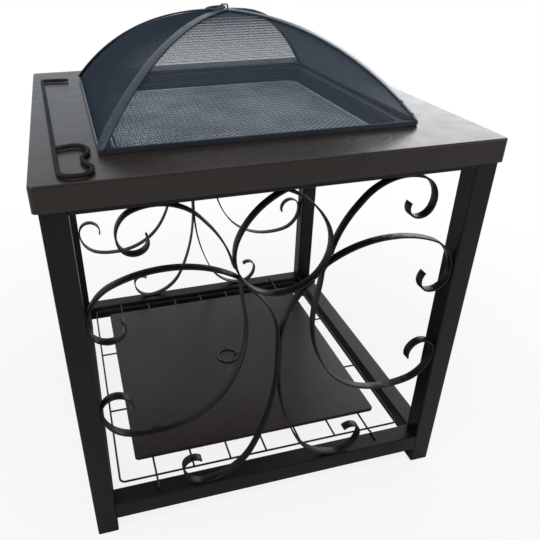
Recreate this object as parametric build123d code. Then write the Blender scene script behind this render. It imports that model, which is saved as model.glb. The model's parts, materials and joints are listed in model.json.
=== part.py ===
from build123d import *
import math
import os
from typing import NamedTuple

# A square steel fire pit table with bent flat bar scrollwork, a lift-out bowl and a spark screen.
# Millimetres, Z up. The floor is z = 0, the front is -Y, and x = y = 0 is the middle of the table.

# Table
table_half = 356.0
table_top = 700.0
skirt_depth = 38.0
table_sheet = 1.5
table_corner = 8.0
table_fold = 3.0
opening_half = 240.0
opening_corner = 25.0
lip_depth = 14.0
tube_width = 38.0
tube_wall = 1.5
tube_corner = 3.0
leg_inset_x = 8.0
leg_inset_y = 3.0
cap_flange = 3.0
cap_plug = 14.0
cap_gap = 0.3
stretcher_low = 33.0
rail_depth = 20.0
rail_height = 44.5

# Scrollwork of flat bar
bar_width = 16.0
bar_thickness = 3.0
bar_inset = 4.0
ring_side_radius = 133.0
ring_round_radius = 79.0
ring_tip_heading = -21.4
c_back = 58.5
corner_root_angle = 12.5
corner_rise_radius = 175.0
corner_crown_radius = 90.0
corner_curl_radius = 40.8
corner_eye_radius = 23.0
corner_tip_radius = 18.0
foot_root_angle = 41.2
foot_flare_radius = 435.0
foot_heel_radius = 108.0
foot_curl_radius = 43.6
foot_tip_radius = 19.7

# Shelf rack of wire
wire = 4.0
rack_gap = 15.0
rack_corner = 10.0
rack_height = 66.0
rack_pitch = 75.0
rack_pitches = 3
rack_cross_y = 102.0
hook_reach = 22.0
hook_bend = 6.0

# Cover stored on the rack
cover_overlap = 3.0
cover_depth = 7.0
cover_sheet = 1.2
cover_corner = 8.0
cover_fold = 2.0
cover_ring_radius = 24.0
cover_ring_offset = 26.0
cover_ring_play = 0.3
cover_saddle_rise = 6.0

# Fire bowl and grate
bowl_sheet = 1.2
flange_width = 17.0
flange_corner = 6.0
bowl_gap = 2.0
bowl_corner = 23.0
bowl_step_depth = 16.0
bowl_step = 4.0
seat_depth = 32.0
seat_width = 18.0
seat_corner = 16.0
bowl_depth = 94.0
bowl_wall_lean = 48.0
bowl_floor_corner = 14.0
grate_rod = 6.0
grate_gap = 1.8
grate_corner = 22.0
grate_lift = 0.3
grate_sheet = 1.5

# Spark screen
screen_overhang = 1.0
screen_bar = 3.0
screen_bar_height = 7.5
screen_corner = 6.0
ridge_inset = 2.522
dome_rise = 148.3
ridge_width = 16.0
mesh_sheet = 0.8
screen_ring_radius = 16.0
screen_ring_lap = 1.6
screen_ring_play = 2.0
screen_saddle_rise = 9.0

# Saddles and rings
ring_wire = 4.0
saddle_width = 14.0
saddle_length = 5.0
saddle_strip = 2.0
saddle_bend = 3.0
rest_gap = 0.3

# Poker, a single bent round bar
poker_bar = 7.0
poker_edge = 21.0
poker_y = 249.0
poker_turn = 1.9
poker_hook = 54.0
poker_shaft = 588.0
poker_grip_width = 46.0
poker_grip_waist = 34.0
poker_grip_length = 122.0
poker_bend = 9.0

# Places worked out from the sizes
underside = table_top - table_sheet
rail_low = underside - rail_height
leg_face_x = table_half - leg_inset_x
leg_face_y = table_half - leg_inset_y
leg_in_x = leg_face_x - tube_width
leg_in_y = leg_face_y - tube_width
stretcher_top = stretcher_low + tube_width
bar_half = bar_thickness / 2
rack_half_x = leg_in_x - rack_gap
rack_half_y = leg_in_y - rack_gap
rack_top = rack_height + 1.5 * wire
cover_top = rack_top + cover_depth
bowl_half = opening_half - bowl_gap
bowl_floor_half = bowl_half - bowl_wall_lean
flange_half = opening_half + flange_width
cover_half = flange_half + cover_overlap
screen_half = flange_half + screen_overhang
ridge_foot = (screen_half - ridge_inset) * math.sqrt(2)
seat_z = table_top - seat_depth
flange_top = table_top + bowl_sheet
grate_half = bowl_half - bowl_step - bowl_sheet - grate_gap - grate_rod / 2
screen_top = flange_top + screen_bar_height
ridge_radius = (ridge_foot**2 + dome_rise**2) / (2 * dome_rise)
apex = screen_top + dome_rise
dome_centre = apex - ridge_radius

SIDES = {"front": -1, "rear": 1}
HANDS = {"left": -1, "right": 1}


class Bend(NamedTuple):
    """An arc of a middle line: its radius, and its turn in degrees, positive to the left."""

    radius: float
    turn: float


class Run(NamedTuple):
    """A straight stretch of a middle line."""

    length: float


def walk(place, heading, step):
    """Return the place and heading in degrees after one step in the X-Z plane."""
    x, z = place
    start = math.radians(heading)
    if isinstance(step, Run):
        return (x + step.length * math.cos(start), z + step.length * math.sin(start)), heading
    side = math.copysign(step.radius, step.turn)
    end = start + math.radians(step.turn)
    x += side * (math.sin(end) - math.sin(start))
    z -= side * (math.cos(end) - math.cos(start))
    return (x, z), heading + step.turn


def walk_all(place, heading, steps):
    """Return the place and heading after all the steps."""
    for step in steps:
        place, heading = walk(place, heading, step)
    return place, heading


def scaled(steps, factor):
    """Return the steps made larger or smaller by a factor."""
    return [
        Run(step.length * factor) if isinstance(step, Run) else Bend(step.radius * factor, step.turn)
        for step in steps
    ]


def beside(place, heading, shift):
    """Return the point that lies beside the middle line, to its left by the shift."""
    angle = math.radians(heading)
    return (place[0] - shift * math.sin(angle), 0, place[1] + shift * math.cos(angle))


def side_edges(place, heading, steps, shift):
    """Return one side of a bent bar as lines and arcs."""
    edges = []
    for step in steps:
        after, new_heading = walk(place, heading, step)
        first = beside(place, heading, shift)
        last = beside(after, new_heading, shift)
        if isinstance(step, Run):
            edges.append(Line(first, last))
        else:
            half_way = walk(place, heading, Bend(step.radius, step.turn / 2))
            edges.append(ThreePointArc(first, beside(*half_way, shift), last))
        place, heading = after, new_heading
    return edges


def bent_bar(place, heading, steps, width=bar_width, thickness=bar_thickness):
    """Return a flat bar bent on edge in the X-Z plane, centred on y = 0."""
    end, end_heading = walk_all(place, heading, steps)
    shift = thickness / 2
    edges = side_edges(place, heading, steps, shift) + side_edges(place, heading, steps, -shift)
    edges.append(Line(beside(place, heading, shift), beside(place, heading, -shift)))
    edges.append(Line(beside(end, end_heading, shift), beside(end, end_heading, -shift)))
    face = Face(Wire(edges))
    return Pos(0, -width / 2, 0) * extrude(face, amount=width, dir=(0, 1, 0))


def slab(half_x, half_y, corner, low, high):
    """Return a plate with round upright corners between two heights."""
    return Pos(0, 0, low) * extrude(RectangleRounded(2 * half_x, 2 * half_y, corner), high - low)


def square_slab(half, corner, low, high):
    """Return a square plate with round upright corners between two heights."""
    return slab(half, half, corner, low, high)


def soft_slab(half, corner, low, high, fold):
    """Return a square plate whose top edge is rolled over."""
    plate = square_slab(half, corner, low, high)
    return fillet(plate.edges().group_by(Axis.Z)[-1], fold)


def box_tube(width, depth, length):
    """Return a rectangular tube that stands on z = 0."""
    outside = RectangleRounded(width, depth, tube_corner)
    inside = RectangleRounded(width - 2 * tube_wall, depth - 2 * tube_wall, tube_corner - tube_wall)
    return extrude(outside - inside, length)


def rod(points, bends, diameter):
    """Return a round bar along straight runs joined by arcs."""
    path = FilletPolyline(*points, radius=bends)
    start = Plane(origin=path @ 0, z_dir=path % 0)
    return sweep(start * Circle(diameter / 2), path=path)


def square_rod(half_x, half_y, corner, height, diameter):
    """Return a round bar bent into a closed rectangle."""
    path = Pos(0, 0, height) * RectangleRounded(2 * half_x, 2 * half_y, corner).wire()
    start = Plane(origin=path @ 0, z_dir=path % 0)
    return sweep(start * Circle(diameter / 2), path=path)


# Table
def make_tabletop():
    """Return the folded top sheet with its skirt, its opening and the lip round it."""
    inner = table_half - table_sheet
    fold = table_fold - table_sheet
    skirt_low = table_top - skirt_depth
    top = soft_slab(table_half, table_corner, skirt_low, table_top, table_fold)
    top -= soft_slab(inner, table_corner - table_sheet, skirt_low, underside, fold)
    lip_corner = opening_corner + table_sheet
    top += square_slab(opening_half + table_sheet, lip_corner, table_top - lip_depth, underside)
    top -= square_slab(opening_half, opening_corner, skirt_low, table_top)
    rim = top.faces().sort_by(Axis.Z)[-1].inner_wires()[0].edges()
    return fillet(rim, table_sheet * 0.8)


def make_leg(hand, side):
    """Return one leg, from its floor cap to the underside of the top."""
    x = hand * (leg_face_x - tube_width / 2)
    y = side * (leg_face_y - tube_width / 2)
    return Pos(x, y, cap_flange) * box_tube(tube_width, tube_width, underside - cap_flange)


def make_foot_cap(hand, side):
    """Return the cap that closes a leg: a flange on the floor and a plug inside the tube."""
    x = hand * (leg_face_x - tube_width / 2)
    y = side * (leg_face_y - tube_width / 2)
    plug_half = tube_width / 2 - tube_wall - cap_gap
    cap = square_slab(tube_width / 2, tube_corner, 0, cap_flange)
    cap += square_slab(plug_half, tube_corner - tube_wall, cap_flange, cap_flange + cap_plug)
    return Pos(x, y, 0) * fillet(cap.edges().group_by(Axis.Z)[-1], tube_wall)


def make_cross_member(side, low, depth, height):
    """Return a tube between the front or rear legs, flush with their outer faces."""
    tube = Pos(-leg_in_x, 0, 0) * Rot(0, 90, 0) * box_tube(height, depth, 2 * leg_in_x)
    return Pos(0, side * (leg_face_y - depth / 2), low + height / 2) * tube


def make_side_member(hand, low, depth, height):
    """Return a tube between the legs of the left or right side, flush with their outer faces."""
    tube = Pos(0, leg_in_y, 0) * Rot(90, 0, 0) * box_tube(depth, height, 2 * leg_in_y)
    return Pos(hand * (leg_face_x - depth / 2), 0, low + height / 2) * tube


# Scrollwork: each bar is a chain of arcs and runs that seats on what it touches
crown_z = rail_low - bar_half
ring_tip = (0, rail_low - bar_half / math.cos(math.radians(ring_tip_heading)))
ring_ratio = ring_side_radius / (ring_side_radius - ring_round_radius)
ring_heading = math.degrees(math.asin(ring_ratio * math.sin(math.radians(ring_tip_heading))))
ring_side = [Bend(ring_side_radius, ring_heading - ring_tip_heading)]
ring_round = [Bend(ring_round_radius, -180 - ring_heading)]
ring_low = walk_all(ring_tip, ring_tip_heading, ring_side + ring_round)[0]
ring_centre = (0, ring_low[1] + ring_round_radius)
touch_radius = ring_round_radius + bar_thickness


def make_ring():
    """Return the pointed ring, two bent halves welded at the tip and at the bottom."""
    lead = 2 * bar_thickness
    heading = math.radians(ring_tip_heading)
    start = (-lead * math.cos(heading), ring_tip[1] - lead * math.sin(heading))
    steps = [Run(lead)] + ring_side + ring_round + [Run(lead)]
    half = bent_bar(start, ring_tip_heading, steps)
    room = 2 * table_half
    half &= Pos(room / 2, 0, ring_centre[1]) * Box(room, room, room)
    return half + mirror(half, Plane.YZ)


def make_corner_scroll():
    """Return the scroll that leaves the ring's side, rises to the rail and curls inward."""
    root = math.radians(corner_root_angle)
    x = ring_centre[0] + touch_radius * math.cos(root)
    z = ring_centre[1] - touch_radius * math.sin(root)
    heading = 90 - corner_root_angle
    rise = [Bend(corner_rise_radius, -28.4)]
    middle, middle_heading = walk_all((x, z), heading, rise)
    crown = [Bend(corner_crown_radius, -middle_heading)]
    short = crown_z - walk_all(middle, middle_heading, crown)[0][1]
    slope = Run(short / math.sin(math.radians(middle_heading)))
    curl = [Bend(corner_crown_radius, -18.9), Bend(corner_curl_radius, -93.7)]
    curl += [Bend(corner_eye_radius, -104.9), Bend(corner_tip_radius, -80)]
    return bent_bar((x, z), heading, rise + [slope] + crown + curl)


def make_c_scroll():
    """Return the C scroll, which touches the leg at both curls and the ring at its shoulder."""
    top_curl = [Bend(23.3, 114.7), Bend(29.9, 100.8), Bend(71, 6)]
    shoulder = [Bend(71, 66.6), Bend(198, 23.4), Run(4)]
    neck = [Bend(198, 32.4)]
    nose = [Bend(18, 55.2)]
    back = [Bend(294, -8.9), Bend(226, 11.3)]
    belly = [Bend(219, 32), Bend(149, 58)]
    heel = [Bend(149, 14.3), Bend(59, 75.7)]
    low_curl = [Bend(59, 11.4), Bend(25.9, 107.6), Bend(26.3, 80)]
    upper_width = -walk_all((0, 0), 90, shoulder + neck + nose + back)[0][0]
    lower_width = walk_all((0, 0), 270, belly + heel)[0][0]
    belly.append(Run(upper_width - lower_width))
    fit = (leg_in_x - bar_half - c_back) / upper_width
    before_nose = scaled(top_curl + shoulder + neck, fit)
    nose = scaled(nose, fit)
    after_nose = scaled(back + belly + heel + low_curl, fit)
    start_heading = 90 - sum(bend.turn for bend in top_curl)
    turned = walk_all((0, 0), start_heading, scaled(top_curl, fit))[0]
    start_x = leg_in_x - bar_half - turned[0]
    nose_start, nose_heading = walk_all((start_x, 0), start_heading, before_nose)
    bend = nose[0].radius
    across = nose_start[0] - bend * math.sin(math.radians(nose_heading))
    centre_z = nose_start[1] + bend * math.cos(math.radians(nose_heading))
    drop = math.sqrt((touch_radius + bend) ** 2 - across**2)
    start = (start_x, ring_centre[1] - drop - centre_z)
    return bent_bar(start, start_heading, before_nose + nose + after_nose)


def make_foot_scroll():
    """Return the scroll that hangs from the ring, meets its twin and curls on the stretcher."""
    root = math.radians(foot_root_angle)
    x = ring_centre[0] + touch_radius * math.sin(root)
    z = ring_centre[1] - touch_radius * math.cos(root)
    heading = foot_root_angle - 180
    lead = [Bend((x - bar_half) / (1 - math.sin(root)), 90 - foot_root_angle)]
    meet = walk_all((x, z), heading, lead)[0]
    flare = [Bend(foot_flare_radius, 26.2), Bend(foot_heel_radius, 55.7), Bend(foot_curl_radius, 8.1)]
    fall = -walk_all((0, 0), -90, flare)[0][1]
    together = Run(meet[1] - fall - stretcher_top - bar_half)
    curl = [Bend(foot_curl_radius, 96.4), Bend(foot_tip_radius, 130)]
    return bent_bar((x, z), heading, lead + [together] + flare + curl)


def place_scroll(scroll, side, hand=1):
    """Return a scroll set in the front or rear panel, on the left or right."""
    if hand < 0:
        scroll = mirror(scroll, Plane.YZ)
    return Pos(0, side * (leg_face_y - bar_inset - bar_width / 2), 0) * scroll


# Shelf rack
def make_rack_rim():
    """Return the wire that runs round the rack."""
    return square_rod(rack_half_x, rack_half_y, rack_corner, rack_height, wire)


def make_rack_cross_wires():
    """Return the wires from left to right, which end on the rim."""
    length = 2 * (rack_half_x - wire / 2)
    plain = Rot(0, 90, 0) * Cylinder(wire / 2, length)
    return [Pos(0, side * rack_cross_y, rack_height) * plain for side in SIDES.values()]


def make_rack_long_wires():
    """Return the wires from front to rear that end on the rim."""
    plain = Pos(0, 0, rack_height + wire) * Rot(90, 0, 0) * Cylinder(wire / 2, 2 * rack_half_y)
    return [Pos(n * rack_pitch, 0, 0) * plain for n in range(1 - rack_pitches, rack_pitches)]


def make_rack_hook_wire(hand):
    """Return a long wire whose ends hook over the front and rear stretchers."""
    low = rack_height + wire
    high = stretcher_top + wire / 2
    x = hand * rack_pitches * rack_pitch
    step = leg_in_y - hook_bend
    tip = leg_in_y + hook_reach
    ends = [(x, -tip, high), (x, -leg_in_y, high), (x, -step, low)]
    points = ends + [(x, -y, z) for x, y, z in reversed(ends)]
    return rod(points, hook_bend, wire)


# Saddles and rings
def make_saddle(x, base, rise):
    """Return a bridge of bent strip that stands over a ring's wire."""
    middle = saddle_strip / 2
    half = saddle_width / 2 - middle
    bend = Bend(saddle_bend, -90)
    up = Run(rise - middle - saddle_bend)
    steps = [up, bend, Run(2 * (half - saddle_bend)), bend, up]
    return Pos(x, 0, base) * bent_bar((-half, 0), 90, steps, saddle_length, saddle_strip)


def make_pull_ring(x, height, radius, dip=0):
    """Return a ring that hinges at (x, 0, height) and lies to the left, dipping by an angle."""
    ring = Pos(-radius, 0, 0) * Torus(radius, ring_wire / 2)
    return Pos(x, 0, height) * Rot(0, -dip, 0) * ring


# Cover
def make_cover_panel():
    """Return the folded cover sheet."""
    fold = cover_fold - cover_sheet
    panel = soft_slab(cover_half, cover_corner, rack_top, cover_top, cover_fold)
    corner = cover_corner - cover_sheet
    return panel - soft_slab(cover_half - cover_sheet, corner, rack_top, cover_top - cover_sheet, fold)


# Fire bowl and grate
def pan_shape(inset):
    """Return the bowl's body as a closed form, drawn in by an inset on every wall and floor."""
    step_z = table_top - bowl_step_depth
    upper = bowl_half - inset
    lower = upper - bowl_step
    neck = lower - seat_width
    seat = seat_z - bowl_sheet + inset
    floor_z = table_top - bowl_depth + inset
    shape = square_slab(upper, bowl_corner - inset, step_z - bowl_sheet + inset, flange_top)
    shape += square_slab(lower, bowl_corner - bowl_step - inset, seat, flange_top)
    mouth = Pos(0, 0, seat) * RectangleRounded(2 * neck, 2 * neck, seat_corner - inset)
    floor_half = bowl_floor_half - inset
    floor_face = RectangleRounded(2 * floor_half, 2 * floor_half, bowl_floor_corner - inset)
    return shape + loft([Pos(0, 0, floor_z) * floor_face, mouth], ruled=True)


def make_fire_bowl():
    """Return the square pan with its flange and the ledge that seats the grate."""
    bowl = square_slab(flange_half, flange_corner, table_top, flange_top) + pan_shape(0)
    return bowl - pan_shape(bowl_sheet)


grate_height = seat_z + grate_lift + grate_rod / 2


def make_grate_rim():
    """Return the round bar round the grate."""
    return square_rod(grate_half, grate_half, grate_corner, grate_height, grate_rod)


def make_grate_sheet():
    """Return the expanded metal of the grate as a plain sheet that meets the rim."""
    half = grate_half - grate_rod / 2
    low = grate_height - grate_sheet / 2
    return square_slab(half, grate_corner - grate_rod / 2, low, low + grate_sheet)


# Spark screen
def make_screen_base():
    """Return the square frame of flat bar on edge."""
    inner = screen_half - screen_bar
    frame = square_slab(screen_half, screen_corner, flange_top, screen_top)
    return frame - square_slab(inner, screen_corner - screen_bar, flange_top, screen_top)


def ridge_bar(turn):
    """Return a whole ridge bar from corner to corner, in the plane turned from X by an angle."""
    middle = ridge_radius - bar_half
    sweep_angle = 2 * math.degrees(math.asin(ridge_foot / ridge_radius)) + 2
    half = math.radians(sweep_angle / 2)
    start = (-middle * math.sin(half), dome_centre + middle * math.cos(half))
    bar = bent_bar(start, sweep_angle / 2, [Bend(middle, -sweep_angle)], ridge_width)
    above = Pos(0, 0, screen_top + dome_rise) * Box(3 * ridge_foot, 3 * ridge_foot, 2 * dome_rise)
    return Rot(0, 0, turn) * (bar & above)


def make_half_ridge(turn):
    """Return the part of a ridge bar on one side of the bar that it butts against."""
    span = 2 * ridge_foot
    room = Pos(ridge_width / 2 + span / 2, 0, apex) * Box(span, span, span)
    return ridge_bar(turn) & (Rot(0, 0, turn) * room)


def make_mesh_panel(turn):
    """Return one curved mesh panel: a sheet bent one way and cut at the two ridges."""
    outer_z = ridge_radius - bar_thickness
    outer_y = outer_z / math.sqrt(2)
    inner = screen_half - screen_bar
    low = dome_centre + outer_z * math.sqrt(1 - (inner / outer_y) ** 2)
    cut = Pos(0, 0, dome_centre)
    profile = Ellipse(outer_y, outer_z) - Ellipse(outer_y - mesh_sheet, outer_z - mesh_sheet)
    shell = extrude(Plane.YZ * profile, inner, both=True)
    wedge_outline = Polyline((0, 0), (-2 * inner, -2 * inner), (2 * inner, -2 * inner), (0, 0))
    wedge = Pos(0, 0, low) * extrude(make_face(wedge_outline), dome_rise)
    wedge &= square_slab(inner, screen_corner - screen_bar, low, low + dome_rise)
    return Rot(0, 0, turn) * ((cut * shell) & wedge)


def screen_ring_dip():
    """Return the angle at which the screen's ring comes to lie on the ridge bars."""
    reach = screen_ring_lap * screen_ring_radius
    bar_z = dome_centre + math.sqrt(ridge_radius**2 - reach**2)
    rest = bar_z + ring_wire / 2 + rest_gap
    return math.degrees(math.asin((apex + ring_wire / 2 + screen_ring_play - rest) / reach))


# Poker
def make_poker():
    """Return the poker: a hook, a long shaft and a closed grip with a waist, lying flat."""
    grip_top = poker_grip_length - poker_shaft
    end = -poker_shaft
    right = poker_grip_width
    shaft = [(poker_hook, 0, 0), (0, 0, 0), (0, end, 0), (right * 0.6, end - poker_bend, 0)]
    grip = [(right, end + 2 * poker_bend, 0), (poker_grip_waist, end + poker_grip_length / 2, 0)]
    crown = (right * 0.62, grip_top + poker_bend, 0)
    grip += [(right, grip_top - 2 * poker_bend, 0), crown]
    poker = rod(shaft + grip, poker_bend, poker_bar)
    closing = Line(crown, (0, grip_top, 0))
    start = Plane(origin=crown, z_dir=closing % 0)
    poker += extrude(start * Circle(poker_bar / 2), closing.length)
    poker += Pos(*crown) * Sphere(poker_bar / 2)
    height = table_top + poker_bar / 2 + rest_gap
    return Pos(poker_edge - table_half, poker_y, height) * Rot(0, 0, poker_turn) * poker


def all_nodes():
    """Yield each piece's name and solids."""
    yield "tabletop", make_tabletop()
    for side_name, side in SIDES.items():
        yield f"stretcher_{side_name}", make_cross_member(side, stretcher_low, tube_width, tube_width)
        yield f"top_rail_{side_name}", make_cross_member(side, rail_low, rail_depth, rail_height)
        yield f"ring_{side_name}", place_scroll(make_ring(), side)
        for hand_name, hand in HANDS.items():
            place = f"{side_name}_{hand_name}"
            yield f"leg_{place}", make_leg(hand, side)
            yield f"foot_cap_{place}", make_foot_cap(hand, side)
            yield f"c_scroll_{place}", place_scroll(make_c_scroll(), side, hand)
            yield f"corner_scroll_{place}", place_scroll(make_corner_scroll(), side, hand)
            yield f"foot_scroll_{place}", place_scroll(make_foot_scroll(), side, hand)
    for hand_name, hand in HANDS.items():
        yield f"stretcher_{hand_name}", make_side_member(hand, stretcher_low, tube_width, tube_width)
        yield f"top_rail_{hand_name}", make_side_member(hand, rail_low, rail_depth, rail_height)
        yield f"rack_hook_wire_{hand_name}", make_rack_hook_wire(hand)
    yield "rack_rim", make_rack_rim()
    yield "rack_cross_wires", make_rack_cross_wires()
    yield "rack_long_wires", make_rack_long_wires()
    yield "cover_panel", make_cover_panel()
    yield "cover_saddle", make_saddle(cover_ring_offset, cover_top, cover_saddle_rise + saddle_strip)
    ring_height = cover_top + ring_wire / 2 + cover_ring_play
    yield "cover_ring", make_pull_ring(cover_ring_offset, ring_height, cover_ring_radius)
    yield "fire_bowl", make_fire_bowl()
    yield "grate_rim", make_grate_rim()
    yield "grate_sheet", make_grate_sheet()
    yield "screen_base", make_screen_base()
    yield "ridge_bar_whole", ridge_bar(45)
    yield "ridge_bar_front_right", make_half_ridge(-45)
    yield "ridge_bar_rear_left", make_half_ridge(135)
    for turn, name in enumerate(["front", "right", "rear", "left"]):
        yield f"mesh_panel_{name}", make_mesh_panel(90 * turn)
    yield "screen_saddle", make_saddle(0, apex, screen_saddle_rise)
    ring_height = apex + ring_wire / 2 + screen_ring_play
    yield "screen_ring", make_pull_ring(0, ring_height, screen_ring_radius, screen_ring_dip())
    yield "poker", make_poker()


os.makedirs("parts", exist_ok=True)
for node_name, shape in all_nodes():
    if isinstance(shape, list):
        shape = Compound(children=shape)
    export_step(shape, f"parts/{node_name}.step")
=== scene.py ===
"""Looks of a square steel fire pit table with scrollwork, a stored cover and a spark screen.

Metres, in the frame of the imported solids: Z up, the floor at z = 0, the front at -Y.
"""

import json
import logging
import math
from dataclasses import dataclass, field
from enum import Enum

import bmesh
import bpy
import numpy as np
from mathutils import Matrix, Vector


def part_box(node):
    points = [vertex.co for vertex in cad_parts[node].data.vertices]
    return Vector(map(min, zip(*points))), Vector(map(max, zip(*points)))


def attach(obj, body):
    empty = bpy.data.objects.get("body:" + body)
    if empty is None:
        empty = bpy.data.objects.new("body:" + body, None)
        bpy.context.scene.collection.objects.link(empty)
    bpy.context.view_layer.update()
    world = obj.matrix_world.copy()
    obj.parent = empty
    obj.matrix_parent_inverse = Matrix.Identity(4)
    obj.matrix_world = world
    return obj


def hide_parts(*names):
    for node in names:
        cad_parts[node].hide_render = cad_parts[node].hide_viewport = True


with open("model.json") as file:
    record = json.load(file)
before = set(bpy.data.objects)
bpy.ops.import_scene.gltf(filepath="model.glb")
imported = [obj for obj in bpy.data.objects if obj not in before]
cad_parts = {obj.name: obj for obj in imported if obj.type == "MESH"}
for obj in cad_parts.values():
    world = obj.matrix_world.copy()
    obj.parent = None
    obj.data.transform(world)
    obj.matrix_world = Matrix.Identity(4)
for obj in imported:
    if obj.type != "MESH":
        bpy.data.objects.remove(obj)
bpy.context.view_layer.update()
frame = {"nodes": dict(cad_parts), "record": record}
LOG = logging.getLogger("fire_pit_table")

Colour = tuple[float, float, float]
Place = tuple[float, float, float]
Span = tuple[float, float]

# Sprayed paint. A span gives the values that become 0 and 1.
CLOUD_SPAN: Span = (0.35, 0.65)
SMEAR_SPAN: Span = (0.4, 0.6)
SMEAR_SCALE = 38.0
# The edge mask places the lighter edge colour, partly scuffed paint and partly a painted edge highlight
EDGE_SPAN: Span = (0.97, 0.8)
EDGE_REACH = 0.0016
PAINT_GLOSS_SWING = 0.16

# Bare steel
BLOTCH_SPAN: Span = (0.38, 0.62)
GRAIN_SCALE = 700.0
BARE_GLOSS_SWING = 0.2

# Every finish
BUMP_DEPTH = 0.0004

# Meshes. No bar starts along the seed heading.
SEED_HEADING: Place = (0.13, 0.37, 0.91)
JOIN_REACH = 0.00001
SHARP_ANGLE = math.radians(40)


class Slot(Enum):
    """The record's finish names."""

    TOP = "top_paint"
    FRAME = "frame_paint"
    CAP = "plastic_cap"
    WIRE = "wire_paint"
    BOWL = "bowl_paint"
    GRATE = "grate_steel"
    SCREEN = "screen_paint"
    MESH = "mesh_paint"
    RING = "ring_steel"
    POKER = "poker_steel"


class Body(Enum):
    """The bodies that the scene's own pieces ride on."""

    TABLE = "table"
    GRATE = "grate"
    SCREEN = "screen"
    POKER = "poker"


# Shader groups shared by the finishes
class Socket(Enum):
    """Socket types of a shader group."""

    VALUE = "NodeSocketFloat"
    COLOUR = "NodeSocketColor"


@dataclass
class ShaderGroup:
    """A named shader group, built once, with textures that lie on the object itself."""

    name: str
    inputs: dict[str, tuple[Socket, object]]
    outputs: dict[str, Socket]
    tree: bpy.types.ShaderNodeTree = field(init=False)

    def __post_init__(self) -> None:
        """Make the tree with its sockets."""
        self.tree = bpy.data.node_groups.new(self.name, "ShaderNodeTree")
        for label, (kind, value) in self.inputs.items():
            made = self.tree.interface.new_socket(label, in_out="INPUT", socket_type=kind.value)
            made.default_value = value
        for label, kind in self.outputs.items():
            self.tree.interface.new_socket(label, in_out="OUTPUT", socket_type=kind.value)
        self.start = self.tree.nodes.new("NodeGroupInput")
        self.end = self.tree.nodes.new("NodeGroupOutput")
        self.point = self.add("ShaderNodeTexCoord").outputs["Object"]

    def add(self, kind: str, **settings: object) -> bpy.types.Node:
        """Add a node.

        Args:
            kind: The node's type name.
            settings: Its attributes.

        Returns:
            The new node.
        """
        node = self.tree.nodes.new(kind)
        for key, value in settings.items():
            setattr(node, key, value)
        return node

    def given(self, label: str) -> bpy.types.NodeSocket:
        """Return what one of the group's inputs gives."""
        return self.start.outputs[label]

    def feed(self, source: float | bpy.types.NodeSocket, target: bpy.types.NodeSocket) -> None:
        """Give a socket a number, or join it to the socket that its value comes from.

        Args:
            source: The number or the socket.
            target: The socket that gets it.
        """
        if isinstance(source, bpy.types.NodeSocket):
            self.tree.links.new(source, target)
        else:
            target.default_value = source

    def ramp(self, source: bpy.types.NodeSocket, span: Span) -> bpy.types.NodeSocket:
        """Stretch a value.

        Args:
            source: The value.
            span: What becomes 0 and what becomes 1.

        Returns:
            The stretched value.
        """
        node = self.add("ShaderNodeMapRange")
        self.feed(span[0], node.inputs["From Min"])
        self.feed(span[1], node.inputs["From Max"])
        self.feed(source, node.inputs["Value"])
        return node.outputs["Result"]

    def noise(self, scale: float | bpy.types.NodeSocket, detail: float = 2.0,
              roughness: float = 0.5) -> bpy.types.NodeSocket:
        """Add a cloudy texture.

        Args:
            scale: How fine it is.
            detail: How many finer layers it has.
            roughness: How strong the finer layers are.

        Returns:
            The texture's value.
        """
        node = self.add("ShaderNodeTexNoise")
        self.feed(self.point, node.inputs["Vector"])
        self.feed(scale, node.inputs["Scale"])
        self.feed(detail, node.inputs["Detail"])
        self.feed(roughness, node.inputs["Roughness"])
        return node.outputs["Fac"]

    def calculate(self, operation: str, *values: float | bpy.types.NodeSocket,
                  clamp: bool = False) -> bpy.types.NodeSocket:
        """Work out a value from others.

        Args:
            operation: The name of the Math node's operation.
            values: The numbers or sockets that it takes.
            clamp: True to keep the result between 0 and 1.

        Returns:
            The result.
        """
        node = self.add("ShaderNodeMath", operation=operation, use_clamp=clamp)
        for value, target in zip(values, node.inputs):
            self.feed(value, target)
        return node.outputs[0]

    def blend(self, share: bpy.types.NodeSocket, first: bpy.types.NodeSocket,
              second: bpy.types.NodeSocket) -> bpy.types.NodeSocket:
        """Mix two colours.

        Args:
            share: How much of the second colour shows.
            first: The first colour.
            second: The second colour.

        Returns:
            The mixed colour.
        """
        node = self.add("ShaderNodeMix", data_type="RGBA")
        self.feed(share, node.inputs["Factor"])
        self.feed(first, node.inputs["A"])
        self.feed(second, node.inputs["B"])
        return node.outputs["Result"]

    def show(self, colour: bpy.types.NodeSocket, roughness: bpy.types.NodeSocket,
             height: bpy.types.NodeSocket) -> None:
        """Join what the group puts out.

        Args:
            colour: The colour.
            roughness: The roughness.
            height: The height of the fine relief.
        """
        self.feed(colour, self.end.inputs["Color"])
        self.feed(roughness, self.end.inputs["Roughness"])
        self.feed(height, self.end.inputs["Height"])


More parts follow.
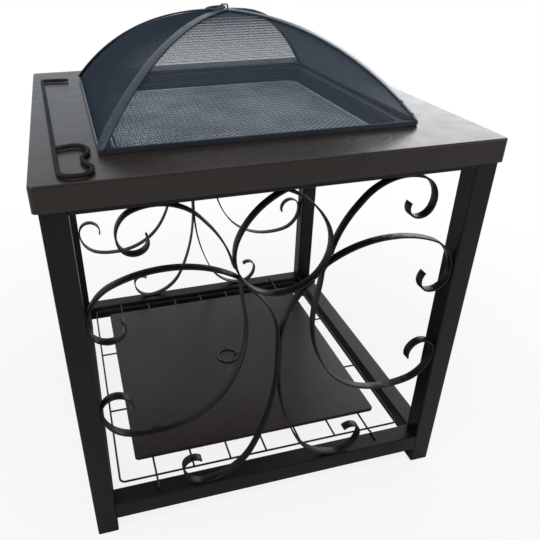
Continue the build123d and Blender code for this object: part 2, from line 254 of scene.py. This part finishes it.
def build_coat_group() -> bpy.types.ShaderNodeTree:
    """Build the group for sprayed paint: cloudy tone, fine orange peel and lighter edges, partly scuffed
    paint and partly a painted edge highlight.

    Returns:
        The shader tree.
    """
    group = ShaderGroup(
        "SprayedCoat",
        {
            "Base": (Socket.COLOUR, (0.1, 0.1, 0.1, 1)),
            "Cloud": (Socket.COLOUR, (0.12, 0.12, 0.12, 1)),
            "Worn And Highlight": (Socket.COLOUR, (0.3, 0.3, 0.3, 1)),
            "Wear And Highlight": (Socket.VALUE, 0.3),
            "Cloud Scale": (Socket.VALUE, 5.0),
            "Peel Scale": (Socket.VALUE, 900.0),
            "Roughness": (Socket.VALUE, 0.4),
        },
        {"Color": Socket.COLOUR, "Roughness": Socket.VALUE, "Height": Socket.VALUE},
    )
    cloud = group.ramp(group.noise(group.given("Cloud Scale"), detail=4, roughness=0.6), CLOUD_SPAN)
    tone = group.blend(cloud, group.given("Base"), group.given("Cloud"))
    # Where the rounded normal turns away from the true one, an edge is near; there the paint gets a lighter
    # colour, partly scuffed paint and partly a painted highlight along the edge
    surface = group.add("ShaderNodeNewGeometry")
    rounded = group.add("ShaderNodeBevel", samples=6)
    group.feed(EDGE_REACH, rounded.inputs["Radius"])
    match = group.add("ShaderNodeVectorMath", operation="DOT_PRODUCT")
    group.feed(surface.outputs["True Normal"], match.inputs[0])
    group.feed(rounded.outputs["Normal"], match.inputs[1])
    edge = group.ramp(match.outputs["Value"], EDGE_SPAN)
    smear = group.noise(SMEAR_SCALE, detail=3)
    rubbed_and_highlit = group.calculate("MULTIPLY", edge, group.ramp(smear, SMEAR_SPAN))
    wear_and_highlight_share = group.calculate("MULTIPLY", rubbed_and_highlit, group.given("Wear And Highlight"))
    gloss = group.calculate("MULTIPLY_ADD", smear, PAINT_GLOSS_SWING, group.given("Roughness"))
    group.show(
        group.blend(wear_and_highlight_share, tone, group.given("Worn And Highlight")),
        group.calculate("SUBTRACT", gloss, PAINT_GLOSS_SWING / 2, clamp=True),
        group.noise(group.given("Peel Scale")),
    )
    return group.tree


def build_bare_group() -> bpy.types.ShaderNodeTree:
    """Build the group for bare or heat-marked steel: blotches and a fine grain.

    Returns:
        The shader tree.
    """
    group = ShaderGroup(
        "BareSteel",
        {
            "Bright": (Socket.COLOUR, (0.5, 0.5, 0.5, 1)),
            "Dull": (Socket.COLOUR, (0.2, 0.2, 0.2, 1)),
            "Blotch Scale": (Socket.VALUE, 14.0),
            "Roughness": (Socket.VALUE, 0.4),
        },
        {"Color": Socket.COLOUR, "Roughness": Socket.VALUE, "Height": Socket.VALUE},
    )
    blotch = group.noise(group.given("Blotch Scale"), detail=5)
    group.show(
        group.blend(group.ramp(blotch, BLOTCH_SPAN), group.given("Bright"), group.given("Dull")),
        group.calculate("MULTIPLY_ADD", blotch, BARE_GLOSS_SWING, group.given("Roughness"), clamp=True),
        group.noise(GRAIN_SCALE),
    )
    return group.tree


COAT = build_coat_group()
BARE = build_bare_group()


@dataclass(frozen=True)
class Finish:
    """What every finish shares: a name, its shader group and the gloss of the Principled shader."""

    name: str
    roughness: float
    metallic: float = 0.0
    bump: float = 0.05
    specular: float = 0.5

    def group(self) -> bpy.types.ShaderNodeTree:
        """Return the shader group of the finish."""
        return COAT

    def values(self) -> dict[str, object]:
        """Return the values of the group's inputs."""
        return {"Roughness": self.roughness}

    def material(self) -> bpy.types.Material:
        """Make the Blender material, or find the one made before.

        Returns:
            The material.
        """
        made = bpy.data.materials.get(self.name)
        if made:
            return made
        made = bpy.data.materials.new(self.name)
        made.use_nodes = True
        nodes, links = made.node_tree.nodes, made.node_tree.links
        shader = nodes["Principled BSDF"]
        shader.inputs["Metallic"].default_value = self.metallic
        shader.inputs["Specular IOR Level"].default_value = self.specular
        effect = nodes.new("ShaderNodeGroup")
        effect.node_tree = self.group()
        for label, value in self.values().items():
            effect.inputs[label].default_value = value
        bump = nodes.new("ShaderNodeBump")
        bump.inputs["Strength"].default_value = self.bump
        bump.inputs["Distance"].default_value = BUMP_DEPTH
        links.new(effect.outputs["Color"], shader.inputs["Base Color"])
        links.new(effect.outputs["Roughness"], shader.inputs["Roughness"])
        links.new(effect.outputs["Height"], bump.inputs["Height"])
        links.new(bump.outputs["Normal"], shader.inputs["Normal"])
        return made


@dataclass(frozen=True)
class SprayedPaint(Finish):
    """Sprayed and baked paint."""

    base: Colour = (0.02, 0.02, 0.02)
    cloud: Colour = (0.03, 0.03, 0.03)
    # The lighter edge colour is partly scuffed paint and partly a painted edge highlight; the next value
    # sets how much of it shows
    worn_and_highlight: Colour = (0.2, 0.2, 0.2)
    wear_and_highlight: float = 0.3
    cloud_scale: float = 5.0
    peel_scale: float = 900.0

    def values(self) -> dict[str, object]:
        """Collect the values of the group's inputs.

        Returns:
            Each value by its input's name.
        """
        return {
            "Base": (*self.base, 1),
            "Cloud": (*self.cloud, 1),
            "Worn And Highlight": (*self.worn_and_highlight, 1),
            "Wear And Highlight": self.wear_and_highlight,
            "Cloud Scale": self.cloud_scale,
            "Peel Scale": self.peel_scale,
            "Roughness": self.roughness,
        }


@dataclass(frozen=True)
class BareMetal(Finish):
    """Bare steel with blotches."""

    bright: Colour = (0.5, 0.5, 0.5)
    dull: Colour = (0.2, 0.2, 0.2)
    blotch_scale: float = 14.0

    def group(self) -> bpy.types.ShaderNodeTree:
        """Return the shader group of the finish."""
        return BARE

    def values(self) -> dict[str, object]:
        """Collect the values of the group's inputs.

        Returns:
            Each value by its input's name.
        """
        return {
            "Bright": (*self.bright, 1),
            "Dull": (*self.dull, 1),
            "Blotch Scale": self.blotch_scale,
            "Roughness": self.roughness,
        }


# Each paint's lighter edge colour is partly scuffed paint and partly a painted highlight along the edges
FINISHES: dict[Slot, Finish] = {
    Slot.TOP: SprayedPaint("bronze_brown_paint", 0.27, bump=0.12, specular=0.3, base=(0.025, 0.0175, 0.014),
                           cloud=(0.03, 0.0215, 0.0175), worn_and_highlight=(0.12, 0.1, 0.085), wear_and_highlight=0.6, cloud_scale=3.0),
    Slot.FRAME: SprayedPaint("black_satin_paint", 0.37, bump=0.1, specular=0.22, base=(0.0045, 0.005, 0.006),
                             cloud=(0.0055, 0.006, 0.0075), worn_and_highlight=(0.05, 0.055, 0.065), wear_and_highlight=0.5,
                             cloud_scale=3.0),
    Slot.CAP: SprayedPaint("black_plastic", 0.55, bump=0.2, specular=0.3, base=(0.007, 0.007, 0.007),
                           cloud=(0.01, 0.01, 0.01), worn_and_highlight=(0.03, 0.03, 0.03), wear_and_highlight=0.3),
    Slot.WIRE: SprayedPaint("black_wire_coat", 0.4, specular=0.3, base=(0.007, 0.007, 0.008),
                            cloud=(0.011, 0.011, 0.012), worn_and_highlight=(0.06, 0.06, 0.06), wear_and_highlight=0.0),
    Slot.BOWL: SprayedPaint("heat_paint", 0.5, bump=0.3, specular=0.4, base=(0.018, 0.024, 0.034),
                            cloud=(0.028, 0.037, 0.05), worn_and_highlight=(0.12, 0.12, 0.13), wear_and_highlight=0.4,
                            cloud_scale=9.0, peel_scale=600.0),
    Slot.GRATE: BareMetal("bare_grate_metal", 0.42, metallic=0.1, bright=(0.86, 0.91, 0.95),
                          dull=(0.6, 0.65, 0.7)),
    Slot.SCREEN: SprayedPaint("screen_bar_paint", 0.33, metallic=0.3, base=(0.034, 0.044, 0.056),
                              cloud=(0.046, 0.058, 0.073), worn_and_highlight=(0.2, 0.23, 0.27), wear_and_highlight=0.5),
    Slot.MESH: SprayedPaint("screen_mesh_paint", 0.4, metallic=0.2, base=(0.09, 0.118, 0.155),
                            cloud=(0.115, 0.15, 0.19), worn_and_highlight=(0.06, 0.07, 0.08), wear_and_highlight=0.0),
    Slot.RING: BareMetal("bare_ring_metal", 0.45, metallic=0.2, specular=0.15, bright=(0.11, 0.115, 0.125),
                         dull=(0.05, 0.05, 0.055), blotch_scale=60.0),
    Slot.POKER: BareMetal("bare_poker_metal", 0.55, metallic=0.0, specular=0.1, bright=(0.03, 0.03, 0.032),
                           dull=(0.015, 0.015, 0.016), blotch_scale=30.0),
}


# Mesh making
@dataclass
class MeshDraft:
    """Points and faces collected for one piece."""

    points: list[Place] = field(default_factory=list)
    faces: list[tuple[int, ...]] = field(default_factory=list)

    def add_rings(self, rings: list[np.ndarray]) -> None:
        """Join rings of points into a tube with capped ends.

        Args:
            rings: Arrays of points, each with the same count.
        """
        start, sides = len(self.points), len(rings[0])
        last = start + (len(rings) - 1) * sides
        for ring in rings:
            self.points.extend(map(tuple, ring))
        for low in range(start, last, sides):
            high = low + sides
            for k in range(sides):
                after = (k + 1) % sides
                self.faces.append((low + k, low + after, high + after, high + k))
        self.faces.append(tuple(start + k for k in reversed(range(sides))))
        self.faces.append(tuple(last + k for k in range(sides)))

    def build(self, name: str, smooth: bool = True) -> bpy.types.Object:
        """Make the Blender object.

        Args:
            name: The piece's name.
            smooth: True for round forms.

        Returns:
            The new object.
        """
        mesh = bpy.data.meshes.new(name)
        mesh.from_pydata(self.points, [], self.faces)
        work = bmesh.new()
        work.from_mesh(mesh)
        bmesh.ops.recalc_face_normals(work, faces=work.faces)
        work.to_mesh(mesh)
        work.free()
        if smooth:
            mesh.shade_smooth()
        made = bpy.data.objects.new(name, mesh)
        bpy.context.scene.collection.objects.link(made)
        return made


def tube_rings(path: np.ndarray, radii: np.ndarray, sides: int) -> list[np.ndarray]:
    """Return the rings of a round bar along a path.

    Args:
        path: The points of the middle line.
        radii: The radius at each point.
        sides: How many points a ring has.

    Returns:
        One array of points for each point of the path.
    """
    tangents = np.gradient(path, axis=0)
    tangents /= np.linalg.norm(tangents, axis=1)[:, None]
    side = np.cross(tangents[0], SEED_HEADING)
    rings = []
    turns = np.linspace(0, 2 * math.pi, sides, endpoint=False)
    for point, tangent, radius in zip(path, tangents, radii):
        side = side - tangent * np.dot(side, tangent)
        side /= np.linalg.norm(side)
        up = np.cross(tangent, side)
        rings.append(point + radius * (np.outer(np.cos(turns), side) + np.outer(np.sin(turns), up)))
    return rings


def smooth_path(points: np.ndarray, steps: int) -> np.ndarray:
    """Return a smooth line through points.

    Args:
        points: The points that the line passes.
        steps: How many parts each stretch gets.

    Returns:
        The points of the line.
    """
    padded = np.vstack([2 * points[0] - points[1], points, 2 * points[-1] - points[-2]])
    line = []
    for a, b, c, d in zip(padded, padded[1:], padded[2:], padded[3:]):
        for t in np.linspace(0, 1, steps, endpoint=False):
            line.append(0.5 * (2 * b + (c - a) * t + (2 * a - 5 * b + 4 * c - d) * t**2
                               + (3 * b - a - 3 * c + d) * t**3))
    line.append(points[-1])
    return np.array(line)


def dress(piece: bpy.types.Object, slot: Slot) -> None:
    """Give a piece the finish of its slot.

    Args:
        piece: The piece.
        slot: The slot that names its finish.
    """
    piece.data.materials.clear()
    piece.data.materials.append(FINISHES[slot].material())


def soften(node: bpy.types.Object, width: float, segments: int = 2) -> None:
    """Round the sharp edges of a solid a little.

    Args:
        node: The solid.
        width: The width of the rounding.
        segments: How many parts the rounding has.
    """
    weld = node.modifiers.new("join", "WELD")
    weld.merge_threshold = JOIN_REACH
    bevel = node.modifiers.new("edges", "BEVEL")
    bevel.width = width
    bevel.segments = segments
    bevel.limit_method = "ANGLE"
    bevel.angle_limit = SHARP_ANGLE
    bevel.harden_normals = True


# Sub-assemblies
@dataclass
class Frame:
    """Tabletop, legs, rails, stretchers and scrollwork, with their welds."""

    bar_round: float = 0.0004
    bead_radius: float = 0.0013
    bead_ripple: float = 0.0035
    bead_cuts: int = 4
    bead_least_cuts: int = 6
    bead_waist: float = 0.82
    bead_swell: float = 0.18
    bead_taper: float = 4.0
    bead_tip: float = 0.25
    bead_sides: int = 6
    bead_lead: float = 0.003
    tack_reach: float = 0.006
    tack_inset: float = 0.0015
    foot_curl_touch: float = 0.1344

    def dress_solids(self) -> None:
        """Give every solid of the table its finish."""
        for name in frame["record"]["behaviour"]["bodies"][Body.TABLE.value]:
            node = frame["nodes"][name]
            if name == "tabletop":
                dress(node, Slot.TOP)
            elif name.startswith("foot_cap"):
                dress(node, Slot.CAP)
            elif name.startswith("rack"):
                dress(node, Slot.WIRE)
            else:
                dress(node, Slot.FRAME)
                if "scroll" in name or name.startswith("ring"):
                    soften(node, self.bar_round)

    def bead(self, draft: MeshDraft, start: Vector, end: Vector) -> None:
        """Add a rippled weld bead between two points.

        Args:
            draft: What the bead is added to.
            start: One end.
            end: The other end.
        """
        length = (end - start).length
        count = max(self.bead_least_cuts, int(length / self.bead_ripple * self.bead_cuts))
        share = np.linspace(0, 1, count)
        path = np.outer(1 - share, start) + np.outer(share, end)
        wave = np.abs(np.sin(share * math.pi * length / self.bead_ripple))
        ripple = self.bead_waist + self.bead_swell * wave
        taper = np.clip(np.sin(share * math.pi) * self.bead_taper, self.bead_tip, 1)
        draft.add_rings(tube_rings(path, self.bead_radius * ripple * taper, self.bead_sides))

    def upright_bead(self, draft: MeshDraft, x: float, y: float, low: float, high: float) -> None:
        """Add a bead up the corner between a bar and a leg.

        Args:
            draft: What the bead is added to.
            x: The corner's place across the table.
            y: The corner's place from front to rear.
            low: The height of the bar's underside.
            high: The height of the bar's top.
        """
        self.bead(draft, Vector((x, y, low + self.bead_lead)), Vector((x, y, high - self.bead_lead)))

    def make_joint_welds(self) -> None:
        """Make the welds where the stretchers and rails meet the legs."""
        draft = MeshDraft()
        for side in ("front", "rear"):
            for hand in ("left", "right"):
                leg_low, leg_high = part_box(f"leg_{side}_{hand}")
                inner_x = leg_low.x if hand == "right" else leg_high.x
                inner_y = leg_low.y if side == "rear" else leg_high.y
                for bar in (f"stretcher_{side}", f"top_rail_{side}"):
                    low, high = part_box(bar)
                    near = low.y if side == "rear" else high.y
                    self.upright_bead(draft, inner_x, near, low.z, high.z)
                for bar in (f"stretcher_{hand}", f"top_rail_{hand}"):
                    low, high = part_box(bar)
                    near = low.x if hand == "right" else high.x
                    self.upright_bead(draft, near, inner_y, low.z, high.z)
        welds = draft.build("leg_welds")
        dress(welds, Slot.FRAME)
        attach(welds, Body.TABLE.value)

    def make_scroll_welds(self) -> None:
        """Make the short welds of the ring to the rail and of the foot scrolls to the stretcher."""
        draft = MeshDraft()
        along = Vector((self.tack_reach, 0, 0))
        for side in ("front", "rear"):
            ring_low, ring_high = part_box(f"ring_{side}")
            for edge_y in (ring_low.y + self.tack_inset, ring_high.y - self.tack_inset):
                touches = [Vector((0, edge_y, ring_high.z))]
                for hand, sign in (("left", -1), ("right", 1)):
                    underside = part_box(f"foot_scroll_{side}_{hand}")[0].z
                    touches.append(Vector((sign * self.foot_curl_touch, edge_y, underside)))
                for touch in touches:
                    self.bead(draft, touch - along, touch + along)
        welds = draft.build("scroll_welds")
        dress(welds, Slot.FRAME)
        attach(welds, Body.TABLE.value)


@dataclass
class SparkScreen:
    """The domed screen: base frame, ridge bars, woven wire and rivets."""

    ridge_foot: float = 0.3613
    rise: float = 0.1483
    bar: float = 0.003
    pitch: float = 0.0027
    wire: float = 0.00036
    wire_sides: int = 3
    up_wire_inset: float = 0.0004
    cross_wire_inset: float = 0.0011
    middle_gap: float = 0.002
    rows: int = 26
    least_rows: int = 3
    least_rise: float = 0.05
    bar_round: float = 0.0005
    rivet_reaches: tuple[float, ...] = (0.352, 0.332)
    rivet_radius: float = 0.0032
    rivet_height: float = 0.0014
    rivet_sink: float = 0.0002
    rivet_crown: float = 0.93
    rivet_cuts: int = 5
    rivet_sides: int = 14

    def __post_init__(self) -> None:
        """Work out the dome from its bars."""
        self.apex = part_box("ridge_bar_whole")[1].z
        self.radius = (self.ridge_foot**2 + self.rise**2) / (2 * self.rise)
        self.centre = self.apex - self.radius
        self.edge = -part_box("mesh_panel_front")[0].y

    def height(self, out: float, inset: float) -> float:
        """Return the height of a mesh panel at a distance from the middle.

        Args:
            out: The distance from the middle, square to the panel's edge.
            inset: How far inside the ridge bar's inner face.

        Returns:
            The height above the floor.
        """
        reach = self.radius - self.bar - inset
        return self.centre + reach * math.sqrt(max(0.0, 1 - 2 * (out / reach) ** 2))

    def add_wire(self, draft: MeshDraft, points: list[Place], spin: np.ndarray) -> None:
        """Add one wire of the front panel, turned to its own panel.

        Args:
            draft: What the wire is added to.
            points: The points of its middle line.
            spin: The turn from the front panel.
        """
        path = np.array(points) @ spin.T
        draft.add_rings(tube_rings(path, np.full(len(path), self.wire), self.wire_sides))

    def wires(self, turn: int) -> MeshDraft:
        """Return the woven wires of one panel.

        Args:
            turn: Quarter turns from the front panel.

        Returns:
            The points and faces.
        """
        draft = MeshDraft()
        spin = np.array(Matrix.Rotation(turn * math.pi / 2, 3, "Z"))
        count = int(self.edge / self.pitch)
        for k in range(-count, count + 1):
            x = k * self.pitch
            end = max(abs(x), self.middle_gap)
            length = self.edge - end
            if length < self.pitch:
                continue
            outs = np.linspace(self.edge, end, max(self.least_rows, int(self.rows * length / self.edge)))
            self.add_wire(draft, [(x, -out, self.height(out, self.up_wire_inset)) for out in outs], spin)
        reach = self.radius - self.bar
        out = self.edge
        while out > self.pitch:
            z = self.height(out, self.cross_wire_inset)
            self.add_wire(draft, [(-out, -out, z), (0, -out, z), (out, -out, z)], spin)
            slope = 2 * out / reach / math.sqrt(max(self.least_rise, 1 - 2 * (out / reach) ** 2))
            out -= self.pitch / math.sqrt(1 + slope**2)
        return draft

    def make_mesh(self) -> None:
        """Make the four woven panels in place of the plain sheets."""
        for turn, name in enumerate(("front", "right", "rear", "left")):
            panel = self.wires(turn).build(f"woven_mesh_{name}", smooth=False)
            dress(panel, Slot.MESH)
            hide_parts(f"mesh_panel_{name}")
            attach(panel, Body.SCREEN.value)

    def make_rivets(self) -> None:
        """Make the rivets that hold the ridge bars at their feet."""
        draft = MeshDraft()
        share = np.linspace(0, 1, self.rivet_cuts)
        rise = share * self.rivet_height - self.rivet_sink
        radii = self.rivet_radius * np.sqrt(1 - (share * self.rivet_crown) ** 2)
        for corner in range(4):
            angle = math.radians(45 + 90 * corner)
            for reach in self.rivet_reaches:
                height = self.centre + math.sqrt(self.radius**2 - reach**2)
                at = Vector((reach * math.cos(angle), reach * math.sin(angle), height))
                normal = (at - Vector((0, 0, self.centre))).normalized()
                path = np.outer(np.ones(self.rivet_cuts), at) + np.outer(rise, normal)
                draft.add_rings(tube_rings(path, radii, self.rivet_sides))
        rivets = draft.build("ridge_rivets")
        dress(rivets, Slot.SCREEN)
        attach(rivets, Body.SCREEN.value)

    def dress_solids(self) -> None:
        """Give the screen's solids their finishes."""
        for name in ("screen_base", "ridge_bar_whole", "ridge_bar_front_right", "ridge_bar_rear_left",
                     "screen_saddle"):
            dress(frame["nodes"][name], Slot.SCREEN)
            soften(frame["nodes"][name], self.bar_round)
        dress(frame["nodes"]["screen_ring"], Slot.RING)


@dataclass
class FireBowl:
    """The pan and the grate of expanded metal."""

    long_way: float = 0.012
    short_way: float = 0.0062
    strand: float = 0.00125
    strand_lap: float = 0.3
    strand_tilt: float = 0.0005
    sheet: float = 0.0015
    corner: float = 0.019
    section: tuple[tuple[int, int], ...] = ((-1, -1), (1, -1), (1, 1), (-1, 1))

    def dress_solids(self) -> None:
        """Give the pan and the grate's rim their finishes."""
        dress(frame["nodes"]["fire_bowl"], Slot.BOWL)
        dress(frame["nodes"]["grate_rim"], Slot.GRATE)

    def make_expanded_metal(self) -> None:
        """Make the grate's diamonds from rows of bent strands."""
        low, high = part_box("grate_sheet")
        half, middle = high.x, (low.z + high.z) / 2
        swing = self.short_way / 2 - self.strand * self.strand_lap
        draft = MeshDraft()
        for row in range(int(2 * half / self.short_way)):
            y = -half + (row + 0.5) * self.short_way
            overrun = max(0.0, abs(y) - (half - self.corner))
            width = half - self.corner + math.sqrt(max(0.0, self.corner**2 - overrun**2))
            count = int(width / (self.long_way / 2))
            rings = []
            for step in range(-count, count + 1):
                sign = 1 if (step + row) % 2 == 0 else -1
                x, bend, z = step * self.long_way / 2, y + sign * swing, middle + sign * self.strand_tilt
                rings.append(np.array([(x, bend + a * self.strand, z + b * self.sheet / 2)
                                       for a, b in self.section]))
            draft.add_rings(rings)
        sheet = draft.build("expanded_metal", smooth=False)
        dress(sheet, Slot.GRATE)
        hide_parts("grate_sheet")
        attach(sheet, Body.GRATE.value)


@dataclass
class StoredCover:
    """The cover panel on the rack, with its ring pull."""

    bar_round: float = 0.0003

    def dress_solids(self) -> None:
        """Give the cover's solids their finishes."""
        dress(frame["nodes"]["cover_panel"], Slot.TOP)
        dress(frame["nodes"]["cover_saddle"], Slot.RING)
        dress(frame["nodes"]["cover_ring"], Slot.RING)
        soften(frame["nodes"]["cover_saddle"], self.bar_round)


@dataclass
class Poker:
    """The poker, one bent round bar with a rounded tip."""

    radius: float = 0.0034
    height: float = 0.7038
    tip: tuple[float, ...] = (0.7, 0.86, 0.94, 0.98)
    steps: int = 7
    sides: int = 14
    outline: tuple[tuple[float, float], ...] = (
        (-0.2815, 0.2435), (-0.300, 0.2455), (-0.322, 0.2480), (-0.3335, 0.2478), (-0.3350, 0.2360),
        (-0.3310, 0.1200), (-0.3270, 0.0000), (-0.3230, -0.1200), (-0.3185, -0.2500), (-0.3155, -0.3150),
        (-0.3110, -0.3330), (-0.2990, -0.3410), (-0.2840, -0.3405), (-0.2730, -0.3300), (-0.2705, -0.3120),
        (-0.2790, -0.2930), (-0.2815, -0.2720), (-0.2730, -0.2530), (-0.2715, -0.2350), (-0.2800, -0.2180),
        (-0.2930, -0.2130), (-0.3060, -0.2160), (-0.3165, -0.2190),
    )

    def make_bar(self) -> None:
        """Make the bent bar."""
        points = np.array([(x, y, self.height) for x, y in self.outline])
        path = smooth_path(points, self.steps)
        radii = np.full(len(path), self.radius)
        radii[:len(self.tip)] = self.radius * np.array(self.tip)
        draft = MeshDraft()
        draft.add_rings(tube_rings(path, radii, self.sides))
        bar = draft.build("poker_bar")
        dress(bar, Slot.POKER)
        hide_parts("poker")
        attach(bar, Body.POKER.value)


# Stage
@dataclass(frozen=True)
class Lamp:
    """One soft square lamp."""

    name: str
    place: Place
    size: float
    power: float

    def make(self, aim: Place) -> None:
        """Make the lamp.

        Args:
            aim: What it points at.
        """
        data = bpy.data.lights.new(self.name, "AREA")
        data.size, data.energy = self.size, self.power
        lamp = bpy.data.objects.new(self.name, data)
        lamp.location = self.place
        lamp.rotation_euler = (Vector(aim) - Vector(self.place)).to_track_quat("-Z", "Y").to_euler()
        bpy.context.scene.collection.objects.link(lamp)


@dataclass(frozen=True)
class Studio:
    """Floor, lights and the camera at the photograph's angle."""

    frame_px: float = 540.0
    focal_px: float = 576.70
    centre_px: tuple[float, float] = (225.53, 276.17)
    sensor: float = 36.0
    clip: Span = (0.05, 60.0)
    place: Place = (-0.290455, -1.076579, 0.974986)
    right: Place = (0.96467621, -0.2633312, -0.00751627)
    down: Place = (-0.14144377, -0.4936671, -0.85807135)
    ahead: Place = (0.22224642, 0.82882415, -0.51347547)
    floor_reach: float = 30.0
    floor_colour: Colour = (0.68, 0.68, 0.68)
    floor_roughness: float = 0.9
    near_white: float = 0.86
    shadow_reach: Span = (0.45, 1.5)
    sky_colour: Colour = (0.86, 0.93, 1.0)
    sky_heading: Place = (0.36, 0.72, 0.6)
    sky_span: Span = (-0.3, 0.95)
    sky_strength: Span = (0.16, 0.85)
    aim: Place = (0.0, 0.0, 0.4)
    lamps: tuple[Lamp, ...] = (
        Lamp("key", (-1.6, -1.4, 2.6), 1.6, 40),
        Lamp("rear_right", (2.5, 2.2, 1.5), 1.9, 30),
        Lamp("front_right", (2.0, -1.9, 1.2), 1.4, 12),
    )

    def make_camera(self) -> None:
        """Make the camera."""
        data = bpy.data.cameras.new("camera")
        data.sensor_width = self.sensor
        data.lens = self.focal_px * self.sensor / self.frame_px
        data.shift_x = (self.frame_px / 2 - self.centre_px[0]) / self.frame_px
        data.shift_y = (self.centre_px[1] - self.frame_px / 2) / self.frame_px
        data.clip_start, data.clip_end = self.clip
        camera = bpy.data.objects.new("camera", data)
        rows = Matrix((self.right, [-v for v in self.down], [-v for v in self.ahead]))
        camera.matrix_world = Matrix.Translation(self.place) @ rows.transposed().to_4x4()
        bpy.context.scene.collection.objects.link(camera)
        bpy.context.scene.camera = camera

    def make_floor(self) -> None:
        """Make the pale floor, which shows white to the camera and keeps its shadow."""
        mesh = bpy.data.meshes.new("floor")
        reach = self.floor_reach
        mesh.from_pydata([(-reach, -reach, 0), (reach, -reach, 0), (reach, reach, 0), (-reach, reach, 0)],
                         [], [(0, 1, 2, 3)])
        floor = bpy.data.objects.new("floor", mesh)
        bpy.context.scene.collection.objects.link(floor)
        material = bpy.data.materials.new("floor")
        material.use_nodes = True
        nodes, links = material.node_tree.nodes, material.node_tree.links
        shader = nodes["Principled BSDF"]
        shader.inputs["Base Color"].default_value = (*self.floor_colour, 1)
        shader.inputs["Roughness"].default_value = self.floor_roughness
        seen = nodes.new("ShaderNodeLightPath")
        white = nodes.new("ShaderNodeEmission")
        place = nodes.new("ShaderNodeNewGeometry")
        away = nodes.new("ShaderNodeVectorMath")
        away.operation = "LENGTH"
        far = nodes.new("ShaderNodeMapRange")
        far.interpolation_type = "SMOOTHSTEP"
        far.inputs["From Min"].default_value, far.inputs["From Max"].default_value = self.shadow_reach
        far.inputs["To Min"].default_value = self.near_white
        both = nodes.new("ShaderNodeMath")
        both.operation = "MULTIPLY"
        pick = nodes.new("ShaderNodeMixShader")
        links.new(place.outputs["Position"], away.inputs[0])
        links.new(away.outputs["Value"], far.inputs["Value"])
        links.new(far.outputs["Result"], both.inputs[0])
        links.new(seen.outputs["Is Camera Ray"], both.inputs[1])
        links.new(both.outputs[0], pick.inputs[0])
        links.new(shader.outputs[0], pick.inputs[1])
        links.new(white.outputs[0], pick.inputs[2])
        links.new(pick.outputs[0], nodes["Material Output"].inputs["Surface"])
        mesh.materials.append(material)

    def make_light(self) -> None:
        """Make the world and the lamps."""
        world = bpy.data.worlds.new("studio")
        world.use_nodes = True
        bpy.context.scene.world = world
        nodes, links = world.node_tree.nodes, world.node_tree.links
        soft = nodes["Background"]
        soft.inputs["Color"].default_value = (*self.sky_colour, 1)
        plain = nodes.new("ShaderNodeBackground")
        plain.inputs["Color"].default_value = (1, 1, 1, 1)
        plain.inputs["Strength"].default_value = 1.0
        heading = nodes.new("ShaderNodeTexCoord")
        toward = nodes.new("ShaderNodeVectorMath")
        toward.operation = "DOT_PRODUCT"
        toward.inputs[1].default_value = self.sky_heading
        sky = nodes.new("ShaderNodeMapRange")
        sky.interpolation_type = "SMOOTHSTEP"
        sky.inputs["From Min"].default_value, sky.inputs["From Max"].default_value = self.sky_span
        sky.inputs["To Min"].default_value, sky.inputs["To Max"].default_value = self.sky_strength
        links.new(heading.outputs["Generated"], toward.inputs[0])
        links.new(toward.outputs["Value"], sky.inputs["Value"])
        links.new(sky.outputs["Result"], soft.inputs["Strength"])
        seen = nodes.new("ShaderNodeLightPath")
        pick = nodes.new("ShaderNodeMixShader")
        links.new(seen.outputs["Is Camera Ray"], pick.inputs[0])
        links.new(soft.outputs[0], pick.inputs[1])
        links.new(plain.outputs[0], pick.inputs[2])
        links.new(pick.outputs[0], nodes["World Output"].inputs["Surface"])
        for lamp in self.lamps:
            lamp.make(self.aim)


def main() -> None:
    """Build every piece and the stage."""
    logging.basicConfig(level=logging.INFO)
    bpy.context.scene.view_settings.view_transform = "Standard"
    studio = Studio()
    studio.make_camera()
    studio.make_floor()
    studio.make_light()
    table = Frame()
    table.dress_solids()
    table.make_joint_welds()
    table.make_scroll_welds()
    LOG.info("table, scrollwork and welds")
    screen = SparkScreen()
    screen.dress_solids()
    screen.make_mesh()
    screen.make_rivets()
    LOG.info("spark screen")
    bowl = FireBowl()
    bowl.dress_solids()
    bowl.make_expanded_metal()
    LOG.info("fire bowl and grate")
    StoredCover().dress_solids()
    LOG.info("stored cover")
    Poker().make_bar()
    LOG.info("poker")


if __name__ == "__main__":
    main()
